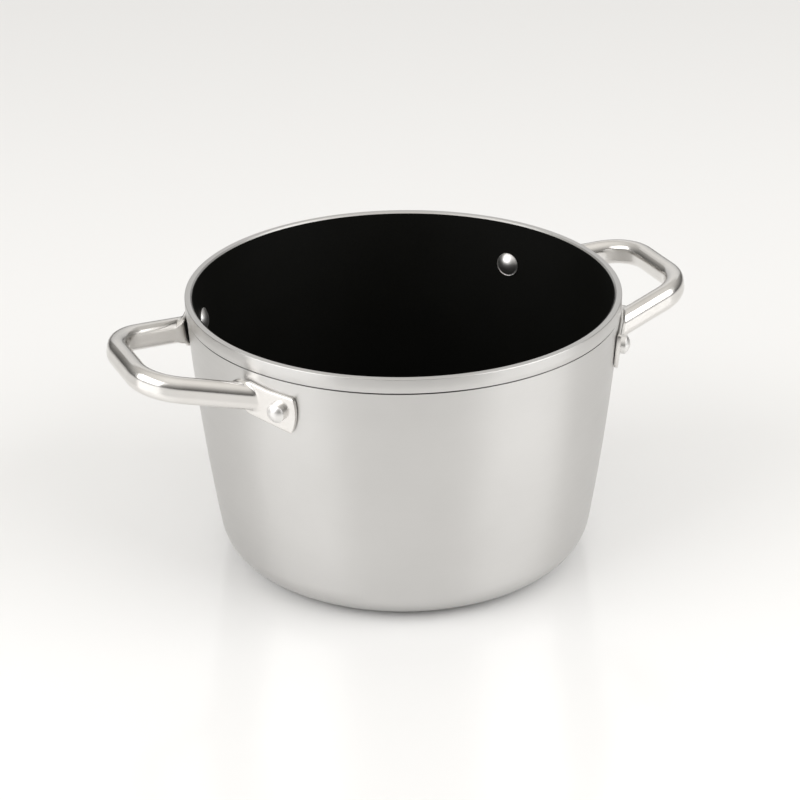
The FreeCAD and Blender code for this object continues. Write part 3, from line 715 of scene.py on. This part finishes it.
def turned_lines(nodes, links, pitch):
    """Noise in fine rings round the pot's axis: slow round a ring, quick from one ring to the next."""
    coordinates = nodes.new("ShaderNodeTexCoord")
    place = nodes.new("ShaderNodeSeparateXYZ")
    links.new(coordinates.outputs["Object"], place.inputs[0])
    squares = [math_node(nodes, links, "MULTIPLY", place.outputs[i], place.outputs[i]) for i in (0, 1)]
    radius = math_node(nodes, links, "SQRT", math_node(nodes, links, "ADD", *squares), 0.0)
    across = math_node(nodes, links, "ADD", radius, place.outputs["Z"])
    joined = nodes.new("ShaderNodeCombineXYZ")
    links.new(place.outputs["X"], joined.inputs["X"])
    links.new(place.outputs["Y"], joined.inputs["Y"])
    links.new(math_node(nodes, links, "MULTIPLY", across, 1.0 / pitch), joined.inputs["Z"])
    ringed = stretched(nodes, links, joined.outputs[0], scale=(6, 6, 1))
    return noise_node(nodes, links, ringed, scale=1.0, detail=2.0)


def object_vector(nodes):
    """The piece's own coordinates, in metres."""
    return nodes.new("ShaderNodeTexCoord").outputs["Object"]


def brush(shader, nodes, links, strength):
    """Stretch highlights across the turning marks."""
    shader.inputs["Anisotropic"].default_value = strength
    shader.inputs["Anisotropic Rotation"].default_value = 0.25
    tangent = nodes.new("ShaderNodeTangent")
    tangent.direction_type = "RADIAL"
    tangent.axis = "Z"
    links.new(tangent.outputs["Tangent"], shader.inputs["Tangent"])


def groove_painted_shade(nodes, links, tone):
    """Darken the bottom of the groove under the rim band with painted shade, standing in for the
    groove's shadow.
    """
    place = nodes.new("ShaderNodeSeparateXYZ")
    links.new(object_vector(nodes), place.inputs[0])
    above = math_node(nodes, links, "SUBTRACT", place.outputs["Z"], BAND_BOTTOM * MM)
    away = math_node(nodes, links, "ABSOLUTE", above, 0.0)
    shade_ramp = nodes.new("ShaderNodeMapRange")
    shade_ramp.inputs["From Min"].default_value = GROOVE_HALF * MM * PAINTED_SHADE_REACH
    shade_ramp.inputs["From Max"].default_value = GROOVE_HALF * MM * UNSHADED_FROM
    shade_ramp.inputs["To Min"].default_value = PAINTED_SHADE_TONE
    shade_ramp.inputs["To Max"].default_value = 1.0
    links.new(away, shade_ramp.inputs["Value"])
    dimmed = nodes.new("ShaderNodeVectorMath")
    dimmed.operation = "SCALE"
    links.new(tone, dimmed.inputs[0])
    links.new(shade_ramp.outputs["Result"], dimmed.inputs["Scale"])
    return dimmed.outputs["Vector"]


def satin_aluminium():
    """Fine-turned aluminium with a soft, slightly uneven sheen."""
    material, nodes, links, shader = new_material("satin_aluminium")
    shader.inputs["Metallic"].default_value = 1.0
    clouds = noise_node(nodes, links, object_vector(nodes), scale=14.0, detail=3.0)
    tone = tone_node(nodes, links, clouds, dark=(0.620, 0.613, 0.602), light=(0.655, 0.648, 0.637))
    # The groove's darkening added to the base colour here is painted shade
    links.new(groove_painted_shade(nodes, links, tone), shader.inputs["Base Color"])
    lines = turned_lines(nodes, links, pitch=0.0009)
    fine = turned_lines(nodes, links, pitch=0.00025)
    both = math_node(nodes, links, "ADD", math_node(nodes, links, "MULTIPLY", lines, 0.6),
                     math_node(nodes, links, "MULTIPLY", fine, 0.4))
    links.new(spread_node(nodes, links, both, low=0.33, high=0.40), shader.inputs["Roughness"])
    links.new(bump_node(nodes, links, both, strength=0.12, distance=0.00006), shader.inputs["Normal"])
    brush(shader, nodes, links, strength=0.55)
    return material


def nonstick_coating():
    """Sprayed matte black coating, with a faint grain."""
    material, nodes, links, shader = new_material("nonstick_coating")
    grain = noise_node(nodes, links, object_vector(nodes), scale=1400.0, detail=2.0)
    clouds = noise_node(nodes, links, object_vector(nodes), scale=30.0, detail=3.0)
    tone = tone_node(nodes, links, grain, dark=(0.0030, 0.0030, 0.0024), light=(0.0060, 0.0060, 0.0050))
    links.new(tone, shader.inputs["Base Color"])
    links.new(spread_node(nodes, links, clouds, low=0.50, high=0.60), shader.inputs["Roughness"])
    links.new(bump_node(nodes, links, grain, strength=0.25, distance=0.00004), shader.inputs["Normal"])
    shader.inputs["Specular IOR Level"].default_value = 0.12
    return material


def polished_steel(name, dark, light, smooth, rough, scratch):
    """Polished stainless steel with faint rubbing marks and smudges."""
    material, nodes, links, shader = new_material(name)
    shader.inputs["Metallic"].default_value = 1.0
    smudges = noise_node(nodes, links, object_vector(nodes), scale=55.0, detail=4.0, roughness=0.6)
    links.new(tone_node(nodes, links, smudges, dark, light), shader.inputs["Base Color"])
    links.new(spread_node(nodes, links, smudges, smooth, rough), shader.inputs["Roughness"])
    along = stretched(nodes, links, object_vector(nodes), scale=(260, 1500, 2600))
    marks = noise_node(nodes, links, along, scale=1.0, detail=3.0)
    links.new(bump_node(nodes, links, marks, scratch, distance=0.00003), shader.inputs["Normal"])
    return material


def magnetic_steel():
    """Turned ferritic steel of the base disc, with visible turning rings."""
    material, nodes, links, shader = new_material("magnetic_steel")
    shader.inputs["Metallic"].default_value = 1.0
    clouds = noise_node(nodes, links, object_vector(nodes), scale=40.0, detail=3.0)
    tone = tone_node(nodes, links, clouds, dark=(0.50, 0.495, 0.485), light=(0.58, 0.575, 0.56))
    links.new(tone, shader.inputs["Base Color"])
    rings = turned_lines(nodes, links, pitch=0.0007)
    links.new(spread_node(nodes, links, rings, low=0.26, high=0.38), shader.inputs["Roughness"])
    links.new(bump_node(nodes, links, rings, strength=0.3, distance=0.00008), shader.inputs["Normal"])
    brush(shader, nodes, links, strength=0.6)
    return material


def floor_material():
    """Glossy white acrylic."""
    material, nodes, links, shader = new_material("white_acrylic")
    clouds = noise_node(nodes, links, object_vector(nodes), scale=3.0, detail=2.0)
    links.new(spread_node(nodes, links, clouds, low=0.10, high=0.12), shader.inputs["Roughness"])
    shader.inputs["Base Color"].default_value = (0.96, 0.96, 0.96, 1)
    shader.inputs["IOR"].default_value = 1.5
    return material


# ---------------------------------------------------------------- the pot's pieces

def dress(piece, material, slot, *nodes):
    """Give a piece its material and its body, and hide the CAD nodes it stands for; slot is not used.
    """
    piece.data.materials.clear()
    piece.data.materials.append(material)
    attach(piece, ROOT)
    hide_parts(*nodes)


def make_pot(frame):
    """Build every visible piece of the pot round the CAD nodes."""
    aluminium = satin_aluminium()
    handle_steel = polished_steel(
        "polished_steel", dark=(0.74, 0.72, 0.695), light=(0.80, 0.785, 0.765),
        smooth=0.16, rough=0.24, scratch=0.10,
    )
    rivet_steel = polished_steel(
        "rivet_steel", dark=(0.80, 0.79, 0.775), light=(0.88, 0.87, 0.86),
        smooth=0.32, rough=0.42, scratch=0.25,
    )

    dress(lathe("pot_shell", pot_outline(), AROUND_POT), aluminium, "satin_aluminium", "pot_body")
    lining = lathe("pot_lining", lining_outline(), AROUND_POT)
    dress(lining, nonstick_coating(), "nonstick_coating", "nonstick_lining")
    for name, side in (("left", -1), ("right", 1)):
        handle = make_handle(f"loop_handle_{name}", side)
        dress(handle, handle_steel, "polished_steel", f"handle_{name}")
        for place, end in (("rear", 1), ("front", -1)):
            placement = rivet_frame(side, end)
            rivet = lathe(f"set_rivet_{name}_{place}", rivet_outline(), AROUND_RIVET, placement)
            dress(rivet, rivet_steel, "rivet_steel", f"rivet_{name}_{place}")
    disc = frame["nodes"]["induction_base_disc"]
    disc.data.materials.clear()
    disc.data.materials.append(magnetic_steel())


# ---------------------------------------------------------------- studio

# Brightness of the room at four heights, from the horizon to overhead
ROOM_TONES = ((0.0, 0.07), (0.28, 0.22), (0.6, 0.48), (1.0, 1.0))
ROOM_TINT = (1.0, 0.975, 0.93)
LIGHT_AIM_HEIGHT = 0.08
FLOOR_REACH = 8.0
FLOOR_DROP = 0.00005
CAMERA_SIGHT = 50.0


def toward(azimuth, elevation):
    """Unit vector at an azimuth from the camera's side of the pot, to its right, and an elevation."""
    back = Vector((math.sin(CAMERA_AZIMUTH), -math.cos(CAMERA_AZIMUTH), 0))
    right = Vector((math.cos(CAMERA_AZIMUTH), math.sin(CAMERA_AZIMUTH), 0))
    level = back * math.cos(azimuth) + right * math.sin(azimuth)
    return level * math.cos(elevation) + Vector((0, 0, math.sin(elevation)))


def soft_box(name, azimuth, elevation, distance, width, height, radiance):
    """A rectangular light that faces the pot; azimuth and elevation are in degrees."""
    data = bpy.data.lights.new(name, "AREA")
    data.shape = "RECTANGLE"
    data.size = width
    data.size_y = height
    data.energy = radiance * math.pi * width * height
    light = bpy.data.objects.new(name, data)
    direction = toward(math.radians(azimuth), math.radians(elevation))
    light.location = direction * distance + Vector((0, 0, LIGHT_AIM_HEIGHT))
    light.rotation_euler = direction.to_track_quat("Z", "Y").to_euler()
    bpy.context.scene.collection.objects.link(light)


def studio_room():
    """A warm grey room, dark near the horizon and bright overhead."""
    world = bpy.data.worlds.new("Studio")
    world.use_nodes = True
    nodes, links = world.node_tree.nodes, world.node_tree.links
    coordinates = nodes.new("ShaderNodeTexCoord")
    direction = nodes.new("ShaderNodeSeparateXYZ")
    links.new(coordinates.outputs["Generated"], direction.inputs[0])
    ramp = nodes.new("ShaderNodeValToRGB")
    while len(ramp.color_ramp.elements) < len(ROOM_TONES):
        ramp.color_ramp.elements.new(0.5)
    for element, (height, tone) in zip(ramp.color_ramp.elements, ROOM_TONES):
        element.position = height
        element.color = (*(tone * tint for tint in ROOM_TINT), 1)
    links.new(direction.outputs["Z"], ramp.inputs["Fac"])
    links.new(ramp.outputs["Color"], nodes["Background"].inputs["Color"])
    return world


def make_studio():
    """White floor, graded room, soft backdrop and two soft boxes."""
    bpy.context.scene.world = studio_room()

    build = bmesh.new()
    bmesh.ops.create_grid(build, x_segments=8, y_segments=8, size=FLOOR_REACH / MM)
    floor = finish_mesh("floor", build)
    floor.location.z = -FLOOR_DROP
    floor.data.materials.append(floor_material())

    soft_box(
        "backdrop", azimuth=180, elevation=24, distance=4.0, width=5.2, height=2.6, radiance=0.45
    )
    soft_box(
        "left_box", azimuth=-62, elevation=27, distance=2.2, width=2.0, height=1.9, radiance=2.3
    )
    soft_box(
        "right_box", azimuth=68, elevation=29, distance=2.2, width=2.0, height=1.9, radiance=2.3
    )


def make_camera():
    """Long lens, a little above the pot, turned to its left."""
    data = bpy.data.cameras.new("Camera")
    data.lens = LENS_MM
    data.sensor_width = SENSOR_MM
    data.dof.use_dof = False
    data.clip_end = CAMERA_SIGHT
    camera = bpy.data.objects.new("Camera", data)
    back = toward(0, CAMERA_ELEVATION)
    right = Vector((math.cos(CAMERA_AZIMUTH), math.sin(CAMERA_AZIMUTH), 0))
    aim = Vector((0, 0, CAMERA_AIM_HEIGHT)) + right * CAMERA_SIDESTEP
    turn = Matrix((right, back.cross(right), back)).transposed() @ Matrix.Rotation(CAMERA_ROLL, 3, "Z")
    camera.matrix_world = Matrix.Translation(aim + back * CAMERA_DISTANCE) @ turn.to_4x4()
    bpy.context.scene.collection.objects.link(camera)
    bpy.context.scene.camera = camera


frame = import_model()
make_camera()
make_studio()
make_pot(frame)
bpy.context.scene.view_settings.view_transform = "Standard"
